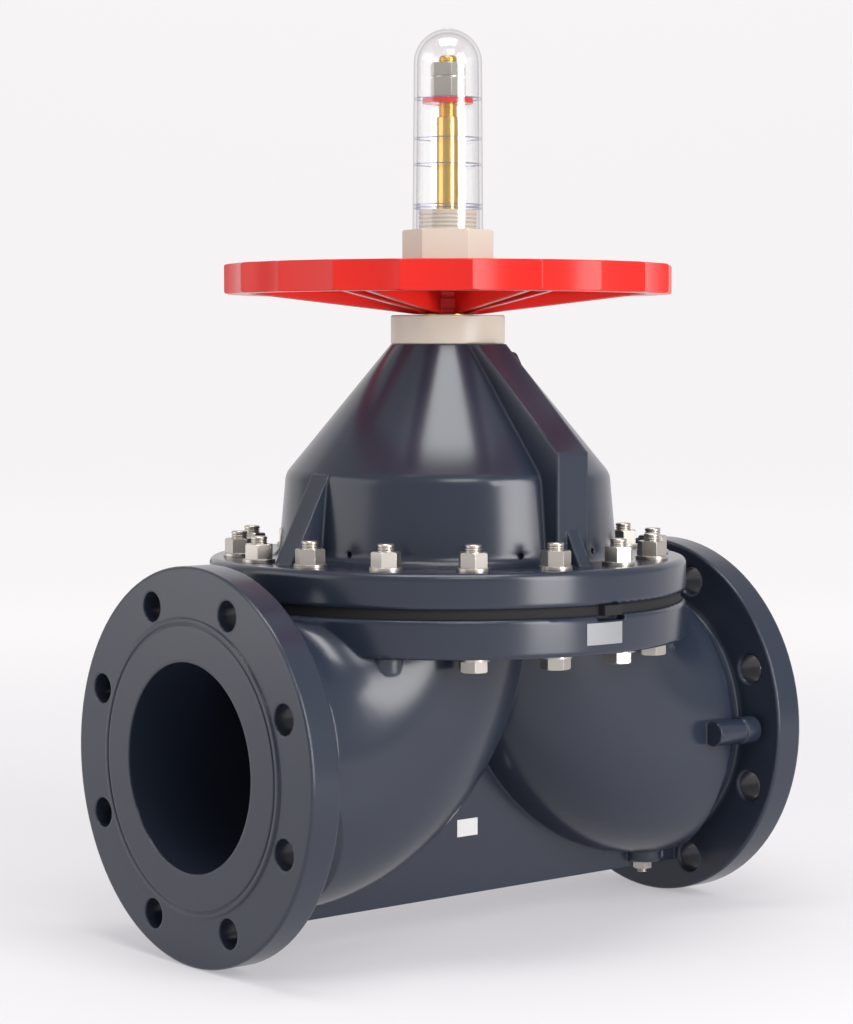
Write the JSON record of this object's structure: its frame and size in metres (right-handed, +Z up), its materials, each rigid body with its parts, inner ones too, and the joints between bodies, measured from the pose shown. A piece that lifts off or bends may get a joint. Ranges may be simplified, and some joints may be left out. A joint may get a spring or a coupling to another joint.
{
  "type": "diaphragm valve",
  "caption": "Flanged weir diaphragm valve in dark plastic with a scalloped handwheel, a clear cover over the position gauge, and a bolted conical bonnet.",
  "frame": {"origin": "on the floor under the stem, midway between the pipe faces; the valve stands on its two pipe flanges", "axes": "+X along the pipe, +Z up along the stem, +Y completes the right-handed frame; the picture shows the -Y side"},
  "size_m": [0.48, 0.362, 0.6773],
  "materials": {
    "pvc": "satin",
    "rubber": "matte",
    "steel": "satin",
    "brass": "satin",
    "black_plastic": "satin",
    "beige_plastic": "satin",
    "red_plastic": "satin",
    "clear_cover": "clear",
    "foil": "satin",
    "white_label": "matte"
  },
  "bodies": {
    "valve": {"body": "pvc", "bonnet": "pvc", "diaphragm": "rubber", "thrust_ring_lower": "black_plastic", "thrust_ring_upper": "black_plastic", "bearing_cap": "beige_plastic", "cap_o_ring": "rubber", "bonnet_bolts": "steel", "bonnet_studs": "steel", "stud_inserts": "brass", "bonnet_nuts": "steel", "bonnet_washers": "steel", "bolt_washers": "steel", "base_inserts": "brass", "base_studs": "steel", "base_nuts": "steel", "vent_elbow": "black_plastic", "vent_tip": "brass", "rim_label": "foil", "web_sticker": "white_label"},
    "wheel": {"handwheel": "red_plastic", "sleeve": "brass", "wheel_key": "steel", "wheel_washer": "steel", "wheel_nut": "beige_plastic", "gauge_cover": "clear_cover"},
    "stem": {"stem": "brass", "indicator_disc": "red_plastic", "stop_nut": "steel", "spring_washer": "steel", "lock_nut": "steel", "compressor": "black_plastic", "compressor_pin": "steel", "diaphragm_insert": "steel"}
  },
  "joints": [
    {"name": "wheel_turn", "type": "hinge", "parent": "valve", "child": "wheel", "pos_m": [0, 0, 0.48], "axis": [0, 0, -1], "range_deg": [0, 3420]},
    {"name": "stem_travel", "type": "slide", "parent": "valve", "child": "stem", "axis": [0, 0, -1], "range_m": [0, 0.076], "deforming": ["diaphragm"]}
  ],
  "couplings": [
    {"joint": "stem_travel", "follows": "wheel_turn", "m_per_rad": 0.0012732}
  ]
}
